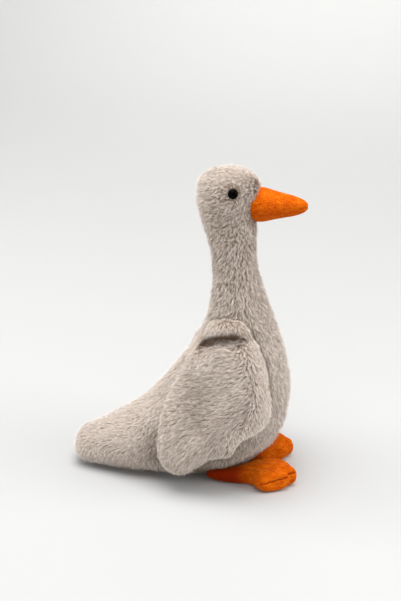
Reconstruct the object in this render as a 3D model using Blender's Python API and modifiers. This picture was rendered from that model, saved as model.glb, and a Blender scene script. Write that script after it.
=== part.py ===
"""A sitting plush goose, in metres.

The goose looks along +X, its left side is +Y, and it sits on the floor at z = 0.
The origin lies on the floor, under the middle of its bounding box.
"""

from math import cos, exp, pi, radians, sin, sqrt

import bmesh
import bpy
from mathutils import Matrix, Vector
from mathutils.bvhtree import BVHTree

CLEARANCE = 0.0003  # between pieces that are sewn or seated on each other
FACET_GAP = 0.0005  # more room where the flat facets of one round piece bridge another's

# The goose's overall sizes. Places on it in side view are written as shares of these: forward of
# BREAST_REACH in front of the middle and of TAIL_REACH behind it, and up of CROWN_HEIGHT.
TAIL_REACH = 0.122
BREAST_REACH = 0.101
CROWN_HEIGHT = 0.325
BELLY_WIDTH = 0.112

# The body is lofted through stations from the tail to the crown. A station joins a place on
# the back line to a place on the belly line, and says how wide the stuffing is between them.
TAIL_ROUNDING = 0.115  # share of the tail's reach in its rounded end
CROWN_ROUNDING = 0.055  # share of the height in the rounded top of the head
PRESSED = -0.009  # share of the height by which the belly line would run below the floor
HEAD_LEVEL = 0.898
HEAD_FRONT = 0.673
BODY_SEGMENTS = 28
STATION_COUNT = 2  # sections for each station
CAP_COUNT = 3  # sections in a rounded end

# The beak is a stuffed cone, sewn on the front of the head. Its profile says how far out a
# section is, as a share of the beak's length, and how thick, as a share of the base.
BEAK_LENGTH = 0.0475
BEAK_HEIGHT = 0.035
BEAK_WIDTH = 0.032
BEAK_LEVEL = 0.889
BEAK_PROFILE = [
    (0.15, 0.98), (0.28, 0.88), (0.42, 0.77), (0.56, 0.68),
    (0.69, 0.60), (0.81, 0.49), (0.91, 0.36), (0.97, 0.21),
]
BEAK_SEGMENTS = 20
BEAK_SEAT_COUNT = 3

# A wing is a padded flap of fur, drawn flat on a chart and then draped over the body's side.
# The chart stands upright and is turned towards the front. Its outline is in shares too.
WING_FACING = radians(12)
WING_THICKNESS = 0.013
WING_EDGE = 0.003  # how far the sewn edge stands off the body
WING_SIDE_FULLNESS = 5  # the higher, the nearer to the edge the filling reaches
WING_END_FULLNESS = 6
WING_COLUMN_COUNT = 14
WING_ROW_COUNT = 18  # rows below the pleat
ROLL_ROW_COUNT = 6  # rows above it
WING_TOP = [(0.18, 0.498), (0.20, 0.532), (0.27, 0.551), (0.36, 0.557), (0.47, 0.551), (0.54, 0.529)]
WING_FRONT = [(0.54, 0.529), (0.62, 0.480), (0.69, 0.418), (0.73, 0.332), (0.72, 0.277), (0.66, 0.231)]
WING_HEM = [
    (-0.22, 0.083), (-0.12, 0.062), (-0.02, 0.065), (0.08, 0.089), (0.15, 0.117), (0.23, 0.132),
    (0.33, 0.129), (0.37, 0.138), (0.41, 0.166), (0.47, 0.191), (0.58, 0.206), (0.66, 0.231),
]
WING_REAR = [
    (0.18, 0.498), (0.10, 0.458), (-0.03, 0.391), (-0.14, 0.320),
    (-0.23, 0.246), (-0.28, 0.163), (-0.26, 0.105), (-0.22, 0.083),
]
WING_HANG = 0.25  # how steeply the flap may fall back towards the body below its widest part
WING_WRAP = 2.0  # how steeply it may turn round the body in front and behind
STEEPEST = 0.3  # cosine of the steepest slope on which the gap to the body is kept in full
SMOOTHING_COUNT = 3

# A line of stitches through the wing holds it to the shoulder. It leaves a deep pleat, and the
# stuffed top of the wing rolls out above it. The line is a share of the way down the wing.
PLEAT_REAR = 0.14
PLEAT_FRONT = 0.09
PLEAT_SAG = 0.07
PLEAT_DEPTH = 0.009
PLEAT_WIDTH = 0.006
ROLL_DEPTH = 0.003
ROLL_WIDTH = 0.011
PLEAT_FULLNESS = 2.2  # the pleat and the roll fade towards their ends

# A foot is a stuffed webbed paddle. It is drawn flat as lines that run from the heel to the
# toes, with the leg narrow and the web wide, and then filled above and below its seam.
FOOT_LENGTH = 0.0935
HEEL_WIDTH = 0.010
LEG_WIDTH = 0.018
LEG_THICKNESS = 0.016
INNER_LEG_LENGTH = 0.032
OUTER_LEG_LENGTH = 0.046
WEB_WIDTH = 0.046
WEB_THICKNESS = 0.026
WEB_SHAPE = [(0.35, 0.41), (0.70, 0.50), (1.0, 0.40)]  # share of the way to the toes, share of the width
WEB_BEGINS = 0.7  # share of the leg's length where it begins to thicken
WEB_ROUNDING = 0.018  # how far the front edge falls back at the web's sides
TOE_COUNT = 3
TOE_NOTCH = 0.007
TOE_VALLEY = 0.005
SOLE_PRESS = 0.0015  # how much of the filling's roundness the floor presses flat
FOOT_LINE_COUNT = 18
FOOT_ROW_COUNT = 14
FOOT_SIDE_FULLNESS = 2.6
FOOT_END_FULLNESS = 5
RIGHT_HEEL = (0.208, -0.25)  # shares of the breast's reach and the belly's width
RIGHT_FOOT_TURN = radians(-1)
LEFT_HEEL = (0.114, 0.195)
LEFT_FOOT_TURN = radians(8.8)

# The eyes are turned domes on a shank. The fur is parted where a dome sits, and a washer on
# the shank holds it from inside the head.
EYE_DIAMETER = 0.010
EYE_DOME = 0.0042
EYE_SINK = 0.0010
EYE_PLACE = (0.458, 0.942)
SHANK_DIAMETER = 0.0045
SHANK_LENGTH = 0.012
WASHER_DIAMETER = 0.011
WASHER_THICKNESS = 0.0018
WASHER_DEPTH = 0.005  # from the back of the dome to the washer
TURNED_STEPS = 20
DOME_STEPS = 6


def side_place(forward, up):
    """A place in side view, in metres, from shares of the goose's reach and height."""
    return Vector(((BREAST_REACH if forward > 0 else TAIL_REACH) * forward, CROWN_HEIGHT * up))


class Station:
    """Where a section of the body begins and ends in side view, and its share of the width."""

    def __init__(self, back, belly, width):
        back, belly = side_place(*back), side_place(*belly)
        self.back = Vector((back.x, 0, back.y))
        self.belly = Vector((belly.x, 0, belly.y))
        self.half = BELLY_WIDTH * width / 2


STATIONS = [
    Station((TAIL_ROUNDING - 1, 0.111), (TAIL_ROUNDING - 1, 0.003), 0.48),
    Station((-0.754, 0.138), (-0.721, PRESSED / 2), 0.58),
    Station((-0.590, 0.175), (-0.533, PRESSED), 0.70),
    Station((-0.369, 0.237), (-0.279, PRESSED), 0.84),
    Station((-0.172, 0.326), (0.079, PRESSED), 0.95),
    Station((-0.008, 0.409), (0.465, 0.006), 1.0),
    Station((0.119, 0.480), (0.851, 0.111), 0.98),
    Station((0.188, 0.538), (1.0, 0.252), 0.91),
    Station((0.228, 0.594), (0.950, 0.400), 0.79),
    Station((0.238, 0.652), (0.782, 0.554), 0.59),
    Station((0.218, 0.711), (0.673, 0.671), 0.45),
    Station((0.188, 0.772), (0.644, 0.757), 0.40),
    Station((0.109, 0.837), (0.663, 0.831), 0.46),
    Station((0.069, HEAD_LEVEL), (HEAD_FRONT, HEAD_LEVEL), 0.54),
    Station((0.074, 1 - CROWN_ROUNDING), (0.683, 1 - CROWN_ROUNDING), 0.50),
]


def along(points, t):
    """A smooth curve through the points, with t from 0 at the first to 1 at the last."""
    place = t * (len(points) - 1)
    i = min(int(place), len(points) - 2)
    f = place - i
    before, a = points[max(i - 1, 0)], points[i]
    b, after = points[i + 1], points[min(i + 2, len(points) - 1)]
    return 0.5 * (
        2 * a
        + (b - before) * f
        + (2 * before - 5 * a + 4 * b - after) * f**2
        + (3 * a - before - 3 * b + after) * f**3
    )


def ring(centre, lean, half, segments):
    """An oval section: lean is the half axis in side view, half the half width."""
    points = []
    for k in range(segments):
        turn = 2 * pi * k / segments
        point = centre + lean * cos(turn) + Vector((0, half * sin(turn), 0))
        point.z = max(point.z, 0)
        points.append(point)
    return points


def rounded_end(centre, lean, half, out, segments):
    """The sections of a round cap, from the section it sits on to just before its pole."""
    rings = []
    for k in range(1, CAP_COUNT + 1):
        turn = k / (CAP_COUNT + 1) * pi / 2
        rings.append(ring(centre + out * sin(turn), lean * cos(turn), half * cos(turn), segments))
    return rings


def body_sections():
    """The body's sections from the tail's pole to the crown's, and the two poles."""
    backs = [station.back for station in STATIONS]
    bellies = [station.belly for station in STATIONS]
    halves = [station.half for station in STATIONS]
    steps = (len(STATIONS) - 1) * STATION_COUNT
    sections = []
    for k in range(steps + 1):
        t = k / steps
        back, belly = along(backs, t), along(bellies, t)
        sections.append(((back + belly) / 2, (back - belly) / 2, along(halves, t)))
    rings = [ring(*section, BODY_SEGMENTS) for section in sections]
    tail, crown = sections[0], sections[-1]
    tail_out = Vector((-TAIL_ROUNDING * TAIL_REACH, 0, 0))
    crown_out = Vector((0, 0, CROWN_ROUNDING * CROWN_HEIGHT))
    first = rounded_end(*tail, tail_out, BODY_SEGMENTS)
    last = rounded_end(*crown, crown_out, BODY_SEGMENTS)
    return first[::-1] + rings + last, tail[0] + tail_out, crown[0] + crown_out


def skin(rings, start, end):
    """A closed mesh over the rings, with a pole at each end."""
    mesh = bmesh.new()
    rows = [[mesh.verts.new(point) for point in points] for points in rings]
    count = len(rows[0])
    for row, after in zip(rows, rows[1:]):
        for k in range(count):
            n = (k + 1) % count
            mesh.faces.new((row[k], row[n], after[n], after[k]))
    for row, pole in ((rows[0], mesh.verts.new(start)), (rows[-1], mesh.verts.new(end))):
        for k in range(count):
            mesh.faces.new((row[k], row[(k + 1) % count], pole))
    bmesh.ops.recalc_face_normals(mesh, faces=mesh.faces)
    return mesh


def fabric(name, colour, roughness, metallic=0.0):
    material = bpy.data.materials.new(name)
    material.use_nodes = True
    shader = material.node_tree.nodes["Principled BSDF"]
    shader.inputs["Base Color"].default_value = (*colour, 1)
    shader.inputs["Roughness"].default_value = roughness
    shader.inputs["Metallic"].default_value = metallic
    material.diffuse_color = (*colour, 1)
    return material


def node(name, mesh, material, collection):
    """An object of the goose from a bmesh, smoothly shaded."""
    data = bpy.data.meshes.new(name)
    mesh.to_mesh(data)
    mesh.free()
    data.shade_smooth()
    data.materials.append(material)
    made = bpy.data.objects.new(name, data)
    collection.objects.link(made)
    return made


def clear_scene():
    for old in list(bpy.data.objects):
        bpy.data.objects.remove(old, do_unlink=True)


def new_collection(name):
    made = bpy.data.collections.new(name)
    bpy.context.scene.collection.children.link(made)
    return made


def closed_grid(upper, lower):
    """A closed mesh over two grids of points that share their border."""
    mesh = bmesh.new()
    rows, columns = len(upper), len(upper[0])
    tops = [[mesh.verts.new(point) for point in line] for line in upper]
    lows = []
    for i, line in enumerate(lower):
        border_row = i in (0, rows - 1)
        lows.append([
            tops[i][j] if border_row or j in (0, columns - 1) else mesh.verts.new(point)
            for j, point in enumerate(line)
        ])
    for i in range(rows - 1):
        for j in range(columns - 1):
            mesh.faces.new((tops[i][j], tops[i][j + 1], tops[i + 1][j + 1], tops[i + 1][j]))
            mesh.faces.new((lows[i][j], lows[i + 1][j], lows[i + 1][j + 1], lows[i][j + 1]))
    bmesh.ops.recalc_face_normals(mesh, faces=mesh.faces)
    return mesh


def mirrored(mesh):
    """The same piece for the goose's other side."""
    for vert in mesh.verts:
        vert.co.y = -vert.co.y
    bmesh.ops.reverse_faces(mesh, faces=mesh.faces)
    return mesh


def evenly(count):
    """Shares from 0 to 1, closer together at both ends, where a filled edge is round."""
    return [0.5 - 0.5 * cos(pi * k / count) for k in range(count + 1)]


def pillow(share, fullness):
    """How full a filled piece is across its width: 0 at its edges and 1 in the middle."""
    return sqrt(max(0.0, 1 - abs(2 * share - 1) ** fullness))


def beak_mesh(head):
    """The cone from its tip back to a base that lies on the head's surface."""
    base, level = side_place(HEAD_FRONT, BEAK_LEVEL)
    axis = Vector((base, 0, level))

    def section(share, size):
        return [
            axis + Vector((
                BEAK_LENGTH * share,
                BEAK_WIDTH / 2 * size * sin(2 * pi * k / BEAK_SEGMENTS),
                BEAK_HEIGHT / 2 * size * cos(2 * pi * k / BEAK_SEGMENTS),
            ))
            for k in range(BEAK_SEGMENTS)
        ]

    def seated(size):
        points = section(0, size)
        for point in points:
            hit = head.ray_cast(point + Vector((BEAK_LENGTH, 0, 0)), Vector((-1, 0, 0)))[0]
            point.x = hit.x + CLEARANCE + FACET_GAP
        return points

    seat = [seated((k + 1) / (BEAK_SEAT_COUNT + 1)) for k in range(BEAK_SEAT_COUNT + 1)]
    seat_middle = seated(0)[0]
    cone = [section(share, size) for share, size in BEAK_PROFILE]
    return skin(seat + cone, seat_middle, axis + Vector((BEAK_LENGTH, 0, 0)))


def chart_point(forward, up, out):
    """A point of the right wing's chart, and out metres from the middle of the body."""
    ahead = Vector((cos(WING_FACING), sin(WING_FACING), 0))
    away = Vector((sin(WING_FACING), -cos(WING_FACING), 0))
    return ahead * forward + away * out + Vector((0, 0, up))


def shares_down(across):
    """How far down the wing its rows lie, with one row on the pleat."""
    pleat = PLEAT_REAR + (PLEAT_FRONT - PLEAT_REAR) * across + PLEAT_SAG * 4 * across * (1 - across)
    above = [pleat * share for share in evenly(ROLL_ROW_COUNT)]
    return above + [pleat + (1 - pleat) * share for share in evenly(WING_ROW_COUNT)[1:]]


def patch(top, front, hem, rear):
    """A grid of chart points that fills the outline between its four edges."""
    top, front, hem, rear = [[side_place(*point) for point in edge] for edge in (top, front, hem, rear)]
    columns = []
    for p in evenly(WING_COLUMN_COUNT):
        column = []
        for q in shares_down(p):
            sides = along(rear, q) * (1 - p) + along(front, q) * p
            ends = along(top, p) * (1 - q) + along(hem, p) * q
            upper = top[0] * (1 - p) + top[-1] * p
            lower = hem[0] * (1 - p) + hem[-1] * p
            column.append(sides + ends - upper * (1 - q) - lower * q)
        columns.append(column)
    return columns


def body_under(grid, tree):
    """How far out the body's surface is under each chart point, and which way it faces there."""
    inward = chart_point(0, 0, -1)
    gap = CLEARANCE + 2 * FACET_GAP
    floor, facing = [], []
    for column in grid:
        hits = [tree.ray_cast(chart_point(*point, 2 * BELLY_WIDTH), inward)[:2] for point in column]
        floor.append([
            -place.dot(inward) + gap / max(-normal.dot(inward), STEEPEST) for place, normal in hits
        ])
        facing.append([(normal - inward).normalized() for _, normal in hits])
    return floor, facing


def drape(grid, floor):
    """How far out each chart point lies when the flap hangs over the body."""
    columns, rows = len(grid), len(grid[0])
    outs = [line[:] for line in floor]
    for j in range(columns):
        for i in range(1, rows):
            drop = (grid[j][i] - grid[j][i - 1]).length
            outs[j][i] = max(outs[j][i], outs[j][i - 1] - WING_HANG * drop)
    for order in (range(1, columns), range(columns - 2, -1, -1)):
        for j in order:
            beside = j - order.step
            for i in range(rows):
                gap = (grid[j][i] - grid[beside][i]).length
                outs[j][i] = max(outs[j][i], outs[beside][i] - WING_WRAP * gap)
    for _ in range(SMOOTHING_COUNT):
        before = [line[:] for line in outs]
        for j in range(columns):
            for i in range(rows):
                near = [before[m][i] for m in (j - 1, j, j + 1) if 0 <= m < columns]
                near += [before[j][m] for m in (i - 1, i + 1) if 0 <= m < rows]
                outs[j][i] = max(floor[j][i], sum(near) / len(near))
    return outs


def pleat_and_roll(below, across):
    """How much the stitches draw the fur in, or the roll stands out, this far below the pleat."""
    roll = ROLL_DEPTH * exp(-(((below + ROLL_WIDTH) / ROLL_WIDTH) ** 2))
    return pillow(across, PLEAT_FULLNESS) * (roll - PLEAT_DEPTH * exp(-((below / PLEAT_WIDTH) ** 2)))


def wing_mesh(tree):
    """The right wing: a sheet draped on the body, with filling between it and its outer side."""
    grid = patch(WING_TOP, WING_FRONT, WING_HEM, WING_REAR)
    floor, facing = body_under(grid, tree)
    outs = drape(grid, floor)
    outer, inner = [], []
    for j, p in enumerate(evenly(WING_COLUMN_COUNT)):
        outer.append([])
        inner.append([])
        pleat = grid[j][ROLL_ROW_COUNT]
        for i, q in enumerate(shares_down(p)):
            sheet = chart_point(*grid[j][i], outs[j][i])
            full = pillow(p, WING_SIDE_FULLNESS) * pillow(q, WING_END_FULLNESS)
            below = (grid[j][i] - pleat).length * (1 if i > ROLL_ROW_COUNT else -1)
            filling = (WING_THICKNESS + pleat_and_roll(below, p)) * full
            rise = WING_EDGE * (1 - full)
            outer[j].append(sheet + facing[j][i] * (rise + filling))
            inner[j].append(sheet + facing[j][i] * rise)
    return closed_grid(outer, inner)


def foot_mesh(heel, turn, side):
    """A foot with its heel at a floor point, turned about it; side is 1 on the goose's left."""
    seam, fill = [], []
    for s in evenly(FOOT_ROW_COUNT):
        seam.append([])
        fill.append([])
        for k in range(FOOT_LINE_COUNT + 1):
            share = k / FOOT_LINE_COUNT
            t = 2 * share - 1
            toe = ((1 + cos(TOE_COUNT * pi * (t + 1))) / 2) ** 2
            leg = INNER_LEG_LENGTH + (OUTER_LEG_LENGTH - INNER_LEG_LENGTH) * share
            front = FOOT_LENGTH - WEB_ROUNDING * t**2 - TOE_NOTCH * toe
            line = [
                Vector((0, t * HEEL_WIDTH / 2)),
                Vector((leg / 2, t * LEG_WIDTH / 2)),
                Vector((leg, t * LEG_WIDTH * 0.55)),
            ]
            line += [
                Vector((leg + (front - leg) * out, t * WEB_WIDTH * wide)) for out, wide in WEB_SHAPE
            ]
            spot = along(line, s)
            web = min(max(spot.x / leg - WEB_BEGINS, 0), 1)
            thickness = LEG_THICKNESS + (WEB_THICKNESS - LEG_THICKNESS) * web
            full = pillow(share, FOOT_SIDE_FULLNESS) * pillow(s, FOOT_END_FULLNESS)
            seam[-1].append((spot, thickness / 2 - SOLE_PRESS))
            fill[-1].append((thickness / 2 * full, TOE_VALLEY * toe * web * full))

    def place(spot, height):
        flat = Matrix.Rotation(turn, 2) @ Vector((spot.x, side * spot.y))
        return Vector((BREAST_REACH * heel[0] + flat.x, BELLY_WIDTH * heel[1] + flat.y, max(height, 0)))

    upper = [
        [place(spot, level + up - valley) for (spot, level), (up, valley) in zip(*lines)]
        for lines in zip(seam, fill)
    ]
    lower = [
        [place(spot, level - down) for (spot, level), (down, _) in zip(*lines)]
        for lines in zip(seam, fill)
    ]
    return closed_grid(upper, lower)


def grown(mesh, distance):
    """The piece a little larger all round, to press its seat in the body."""
    mesh.normal_update()
    moved = [vert.co + vert.normal * distance for vert in mesh.verts]
    for vert, place in zip(mesh.verts, moved):
        vert.co = place
    return mesh


def turned(name, profile, closed, place, material, collection):
    """A piece turned from a profile of (radius, height) points that runs down its outer side."""
    data = bpy.data.meshes.new(name)
    count = len(profile)
    edges = [(k, (k + 1) % count) for k in range(count if closed else count - 1)]
    data.from_pydata([(radius, 0, height) for radius, height in profile], edges, [])
    if material:
        data.materials.append(material)
    made = bpy.data.objects.new(name, data)
    made.matrix_world = place
    collection.objects.link(made)
    screw = made.modifiers.new("turn", "SCREW")
    screw.steps = TURNED_STEPS
    screw.render_steps = TURNED_STEPS
    screw.use_merge_vertices = True
    screw.merge_threshold = 0.00001
    screw.use_smooth_shade = True
    return made


def eye_place(tree, side):
    """Where an eye sits: its origin is the back of the dome, and its Z points out."""
    forward, level = side_place(*EYE_PLACE)
    outside = Vector((forward, side * BELLY_WIDTH, level))
    hit, normal = tree.ray_cast(outside, Vector((0, -side, 0)))[:2]
    turn = normal.to_track_quat("Z", "X").to_matrix().to_4x4()
    return Matrix.Translation(hit - normal * EYE_SINK) @ turn


def dome_profile():
    turns = [k / DOME_STEPS * pi / 2 for k in range(DOME_STEPS + 1)]
    return [(EYE_DIAMETER / 2 * sin(turn), EYE_DOME * cos(turn)) for turn in turns]


def eye_profile():
    shank = SHANK_DIAMETER / 2
    return dome_profile() + [(shank, 0), (shank, -SHANK_LENGTH), (0, -SHANK_LENGTH)]


def washer_profile():
    inside, outside = SHANK_DIAMETER / 2 + CLEARANCE, WASHER_DIAMETER / 2
    upper, lower = -WASHER_DEPTH, -WASHER_DEPTH - WASHER_THICKNESS
    return [(inside, upper), (outside, upper), (outside, lower), (inside, lower)]


def socket_profile():
    """The room that the dome, its shank and its washer take in the head."""
    dome, shank = EYE_DIAMETER / 2 + CLEARANCE, SHANK_DIAMETER / 2 + CLEARANCE
    washer = WASHER_DIAMETER / 2 + CLEARANCE
    upper, lower = -WASHER_DEPTH + CLEARANCE, -WASHER_DEPTH - WASHER_THICKNESS - CLEARANCE
    end = -SHANK_LENGTH - CLEARANCE
    return [
        (0, EYE_DOME), (dome, EYE_DOME), (dome, -CLEARANCE), (shank, -CLEARANCE), (shank, upper),
        (washer, upper), (washer, lower), (shank, lower), (shank, end), (0, end),
    ]


def cut(piece, cutter):
    cutter.hide_render = True
    cutter.display_type = "WIRE"
    boolean = piece.modifiers.new(cutter.name, "BOOLEAN")
    boolean.operation = "DIFFERENCE"
    boolean.object = cutter


def centre_on_floor(pieces):
    """Moves the goose so that the middle of its bounding box is over the origin."""
    corners = [piece.matrix_world @ vert.co for piece in pieces for vert in piece.data.vertices]
    xs, ys = [corner.x for corner in corners], [corner.y for corner in corners]
    shift = Matrix.Translation((-(min(xs) + max(xs)) / 2, -(min(ys) + max(ys)) / 2, 0))
    for piece in bpy.data.objects:
        piece.matrix_world = shift @ piece.matrix_world


clear_scene()
goose = new_collection("plush_goose")
cutters = new_collection("cutters")
fur = fabric("beige_fur", (0.62, 0.55, 0.48), 0.95)
nap = fabric("orange_nap", (0.83, 0.24, 0.02), 0.9)
plastic = fabric("black_plastic", (0.01, 0.01, 0.01), 0.08)
washer_plastic = fabric("white_plastic", (0.8, 0.8, 0.78), 0.4)

body_mesh = skin(*body_sections())
body_tree = BVHTree.FromBMesh(body_mesh)
body = node("body", body_mesh, fur, goose)
node("beak", beak_mesh(body_tree), nap, goose)
node("wing_right", wing_mesh(body_tree), fur, goose)
node("wing_left", mirrored(wing_mesh(body_tree)), fur, goose)

for name, side in (("right", -1), ("left", 1)):
    place = eye_place(body_tree, side)
    turned(f"eye_{name}", eye_profile(), False, place, plastic, goose)
    turned(f"eye_washer_{name}", washer_profile(), True, place, washer_plastic, goose)
    cut(body, turned(f"eye_socket_{name}", socket_profile(), False, place, None, cutters))

for name, heel, turn, side in (
    ("right", RIGHT_HEEL, RIGHT_FOOT_TURN, -1),
    ("left", LEFT_HEEL, LEFT_FOOT_TURN, 1),
):
    node(f"foot_{name}", foot_mesh(heel, turn, side), nap, goose)
    pressed = grown(foot_mesh(heel, turn, side), CLEARANCE + FACET_GAP)
    cut(body, node(f"leg_seat_{name}", pressed, nap, cutters))

bpy.context.view_layer.update()
centre_on_floor(list(goose.objects))
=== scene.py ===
# %% [markdown]
# # A plush goose
# The goose is a stuffed toy, about 325 mm high. Body, neck and head are one filled skin of short faux
# fur. Two padded wings hang at its sides, the cone beak and the two webbed feet are of orange nap
# fabric, and the eyes are black plastic. The measured solids come from the frame. This lesson dresses
# them: every stuffed piece gets a fine skin, the seams of the beak and feet are sewn, and the pile of
# the fur grows strand by strand.

from functools import partial
from math import cos, pi, radians, sin

import bmesh
import bpy
import numpy as np
from mathutils import Matrix, Vector, noise
from mathutils.bvhtree import BVHTree
from mathutils.kdtree import KDTree


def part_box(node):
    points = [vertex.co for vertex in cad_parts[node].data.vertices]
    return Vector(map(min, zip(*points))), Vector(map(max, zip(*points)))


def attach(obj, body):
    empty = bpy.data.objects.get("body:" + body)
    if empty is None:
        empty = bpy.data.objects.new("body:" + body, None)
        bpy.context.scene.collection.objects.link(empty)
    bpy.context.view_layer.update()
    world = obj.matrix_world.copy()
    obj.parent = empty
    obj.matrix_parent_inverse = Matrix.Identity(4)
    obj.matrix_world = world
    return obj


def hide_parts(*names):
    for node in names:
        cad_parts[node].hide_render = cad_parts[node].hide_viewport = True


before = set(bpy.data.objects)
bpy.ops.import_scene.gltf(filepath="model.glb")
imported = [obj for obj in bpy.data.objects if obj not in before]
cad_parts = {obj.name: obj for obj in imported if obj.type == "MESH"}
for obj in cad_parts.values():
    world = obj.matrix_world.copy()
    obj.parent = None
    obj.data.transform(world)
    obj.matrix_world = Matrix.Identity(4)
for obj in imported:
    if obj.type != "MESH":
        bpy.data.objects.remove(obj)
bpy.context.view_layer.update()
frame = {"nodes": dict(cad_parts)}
MM = 0.001
print("solids:", ", ".join(frame["nodes"]))


# %% [markdown]
# ## The camera
# The photograph looks at the goose's right side from a little in front and a little above. The eye is
# a 10 mm one, which makes a pixel 1.05 mm, and the point of the floor under the middle of the goose is
# at a known pixel. A camera 1.6 m away with that scale gives the same picture, without any shift.

# %% Camera
PHOTO_WIDTH, PHOTO_HEIGHT = 401, 601
PIXEL = 1.05 * MM
CAMERA_AZIMUTH, CAMERA_ELEVATION = radians(9.5), radians(21)
CAMERA_DISTANCE = 1.6
FLOOR_POINT_PIXEL = (188.0, 464.0)

to_right = Vector((cos(CAMERA_AZIMUTH), sin(CAMERA_AZIMUTH), 0))
to_camera = Vector((
    sin(CAMERA_AZIMUTH) * cos(CAMERA_ELEVATION),
    -cos(CAMERA_AZIMUTH) * cos(CAMERA_ELEVATION),
    sin(CAMERA_ELEVATION),
))
to_top = to_camera.cross(to_right)
looked_at = to_right * (PHOTO_WIDTH / 2 - FLOOR_POINT_PIXEL[0]) * PIXEL
looked_at += to_top * (FLOOR_POINT_PIXEL[1] - PHOTO_HEIGHT / 2) * PIXEL

camera_data = bpy.data.cameras.new("camera")
camera_data.sensor_fit = "VERTICAL"
camera_data.lens = camera_data.sensor_height * CAMERA_DISTANCE / (PHOTO_HEIGHT * PIXEL)
camera = bpy.data.objects.new("camera", camera_data)
axes = Matrix((to_right, to_top, to_camera)).transposed().to_4x4()
camera.matrix_world = Matrix.Translation(looked_at + to_camera * CAMERA_DISTANCE) @ axes
bpy.context.scene.collection.objects.link(camera)
bpy.context.scene.camera = camera
print("lens in mm:", round(camera_data.lens, 1))


# %% [markdown]
# ## Colours and material nodes
# Colours are written as they look on a screen, as hex values, and one function turns them into the
# linear values that light works with. One more function adds a node with its settings, its inputs and,
# where it is a colour ramp, its stops, so that each material reads as a short list.

# %% Colour and node helpers
def linear(hex_colour):
    """An sRGB hex colour as linear red, green, blue and alpha."""
    parts = [int(hex_colour[i : i + 2], 16) / 255 for i in (1, 3, 5)]
    return [c / 12.92 if c <= 0.04045 else ((c + 0.055) / 1.055) ** 2.4 for c in parts] + [1.0]


def add_node(material, kind, settings=None, inputs=None, stops=()):
    """A node of that kind with its settings, its inputs set or linked, and its (place, colour) stops."""
    made = material.node_tree.nodes.new(kind)
    for name, value in (settings or {}).items():
        setattr(made, name, value)
    for name, value in (inputs or {}).items():
        if isinstance(value, bpy.types.NodeSocket):
            material.node_tree.links.new(value, made.inputs[name])
        else:
            made.inputs[name].default_value = value
    elements = made.color_ramp.elements if stops else ()
    for _ in stops[2:]:
        elements.new(0.5)
    for element, (place, colour) in zip(elements, stops):
        element.position = place
        element.color = linear(colour)
    return made


def new_material(name, **sockets):
    """A material with these values on its shader, and the shader."""
    material = bpy.data.materials.new(name)
    material.use_nodes = True
    shader = material.node_tree.nodes["Principled BSDF"]
    for socket, value in sockets.items():
        shader.inputs[socket.replace("_", " ")].default_value = value
    return material, shader


print("middle grey in linear values:", round(linear("#808080")[0], 3))


# %% [markdown]
# ## Faux fur
# Faux fur is a knitted backing with acrylic fibres brought up through it and sheared to one length. The
# fibre is a dull beige. It looks darker where it is packed at the root, because little light gets
# there, so the root is painted darker as shade, and paler at the tip, where it tapers. Hair from a
# particle system would draw it, but it isn't a mesh that other programs can load, so the pile is made
# of real strands. Each strand carries two values for this material: how far along it a point is, and
# its tone, which is the tone of its dye lot with painted shade added where little light reaches it.
# Acrylic has an IOR of about 1.49. A single fibre gleams, but a pile of them scatters that gleam, so
# the roughness is high and a little sheen stands for the fine fuzz at the tips.

# %% Faux fur materials
FIBRE_STOPS = [(0.0, "#806A57"), (0.3, "#CDB9A7"), (0.6, "#EDE0D5"), (1.0, "#F8F3ED")]  # root to tip
# The dark colour is that of darker dye lots, and it is also used for painted shade.
DARK_LOT_AND_SHADE = "#6E573F"
BACKING_SHADE = "#857060"

pile_fibre, fibre_shader = new_material(
    "acrylic_pile_fibre", Roughness=0.8, IOR=1.49, Specular_IOR_Level=0.2, Sheen_Weight=0.2,
    Sheen_Roughness=0.5,
)
along = add_node(pile_fibre, "ShaderNodeAttribute", {"attribute_name": "along"}).outputs["Fac"]
# The tone attribute holds the dye lot and painted shade; the mix below darkens the fibre by it.
tone = add_node(pile_fibre, "ShaderNodeAttribute", {"attribute_name": "tone"}).outputs["Fac"]
fibre_colour = add_node(pile_fibre, "ShaderNodeValToRGB", inputs={"Fac": along}, stops=FIBRE_STOPS)
dyed_and_shaded = add_node(
    pile_fibre, "ShaderNodeMix", {"data_type": "RGBA", "blend_type": "MIX"},
    {"Factor": tone, "A": fibre_colour.outputs["Color"], "B": linear(DARK_LOT_AND_SHADE)},
)
pile_fibre.node_tree.links.new(dyed_and_shaded.outputs["Result"], fibre_shader.inputs["Base Color"])

# The backing is a matt knit. It shows only as shade between the strands, so its colour is darkened as
# painted shade.
fur_backing, _ = new_material("knitted_fur_backing", Base_Color=linear(BACKING_SHADE), Roughness=0.95, IOR=1.49)
print("fur materials:", pile_fibre.name, fur_backing.name)


# %% [markdown]
# ## Orange nap fabric
# The beak and the feet are cut from a polyester velour with a nap of about 1 mm, brushed one way. It
# scatters light at grazing angles, which a warm sheen gives, and hands leave lighter and darker patches
# where the nap lies another way. A light and a dark patch side by side take about 6 mm. The nap's own
# fibres are finer than the picture shows, so its grain is drawn at 1.2 mm, as coarse as it needs to be.
# Under the belly the leg's nap is in shade, and so is the beak's lower half; both are painted darker as
# shade. Along a seam it is drawn in and darker, with its thread and with painted shade in the groove.
# The pieces carry both as values, so that one fabric does for all of them.

# %% Nap fabric material
NAP_STOPS = [(0.3, "#B04002"), (0.5, "#D05A04"), (0.72, "#EE8418")]  # dark and light nap
# Colours of painted shade on the nap, and of a seam's thread and shade.
NAP_SHADE, NAP_SEWN = "#8A2404", "#8E3204"
NAP_PATCHES = 6 * MM  # a lighter and a darker patch side by side
NAP_BRUSHED = (0.5, 0.6, 1.0)  # patches are twice as long along the goose, the way the nap is brushed
NAP_GRAIN = 1.2 * MM
NAP_RELIEF = 0.3 * MM
PATCH_SHARE = 0.45  # how much the patches count beside the grain

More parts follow.
